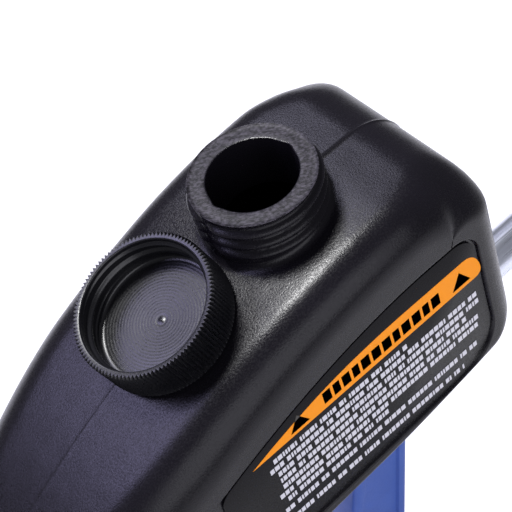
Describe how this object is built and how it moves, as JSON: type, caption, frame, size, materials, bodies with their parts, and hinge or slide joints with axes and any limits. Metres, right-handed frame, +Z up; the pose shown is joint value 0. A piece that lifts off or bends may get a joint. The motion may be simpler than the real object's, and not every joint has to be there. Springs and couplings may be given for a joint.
{
  "type": "gravity-feed abrasive blast gun",
  "caption": "Hand-held blast gun: black grit hopper with threaded neck and loose cap over a blue pistol-grip body with trigger, steel blast tube and ceramic tip.",
  "frame": {"origin": "bottom centre of the gun's bounding box, under the grip", "axes": "+X towards the nozzle along the blast tube, +Y to the gun's left, +Z up along the filler neck"},
  "size_m": [0.2642, 0.073, 0.2291],
  "materials": {
    "hopper_plastic": "satin blow-moulded polyethylene",
    "cap_plastic": "satin moulded polypropylene",
    "label_film": "gloss printed film",
    "blue_plastic": "fine-textured moulded nylon",
    "rubber": "matt",
    "tube_steel": "bright zinc-plated",
    "nut_steel": "machined and plated",
    "screw_steel": "plated",
    "cast_alloy": "as cast",
    "brass": "machined",
    "ceramic": "unglazed, fine ground"
  },
  "bodies": {
    "gun": {"hopper": "hopper_plastic", "label_right": "label_film", "label_left": "label_film", "hopper_screw_1": "screw_steel", "hopper_screw_2": "screw_steel", "outlet_gasket": "rubber", "mixing_chamber": "cast_alloy", "air_jet": "brass", "air_pipe": "tube_steel", "tube_nut": "nut_steel", "blast_tube": "tube_steel", "nozzle_seal": "rubber", "nozzle_tip": "ceramic", "nozzle_nut": "nut_steel", "valve_body": "brass", "valve_spring": "screw_steel", "valve_plug": "brass", "inlet_pipe": "tube_steel", "inlet_fitting": "brass", "inlet_washer": "rubber", "body_shell_left": "blue_plastic", "body_shell_right": "blue_plastic", "body_screw_1": "screw_steel", "body_screw_2": "screw_steel", "body_screw_3": "screw_steel", "body_screw_4": "screw_steel", "body_screw_5": "screw_steel", "body_screw_6": "screw_steel", "trigger_pin": "screw_steel"},
    "trigger": {"trigger": "blue_plastic"},
    "valve_stem": {"valve_stem": "tube_steel", "valve_seal": "rubber"},
    "cap": {"hopper_cap": "cap_plastic"}
  },
  "joints": [
    {"name": "trigger_pull", "type": "hinge", "parent": "gun", "child": "trigger", "pos_m": [0.01609, 0, 0.11015], "axis": [0, 1, 0], "range_deg": [0, 12], "stiffness_Nm_per_rad": 1.2, "springref_deg": -5.73},
    {"name": "valve_push", "type": "slide", "parent": "gun", "child": "valve_stem", "axis": [-1, 0, 0], "range_m": [0, 0.0042], "deforming": ["valve_spring"]},
    {"name": "cap_lift", "type": "slide", "parent": "gun", "child": "cap", "axis": [-0.2924, 0, 0.9563], "range_m": [0, 0.06]}
  ],
  "couplings": [
    {"joint": "valve_push", "follows": "trigger_pull", "m_per_rad": 0.0185}
  ]
}
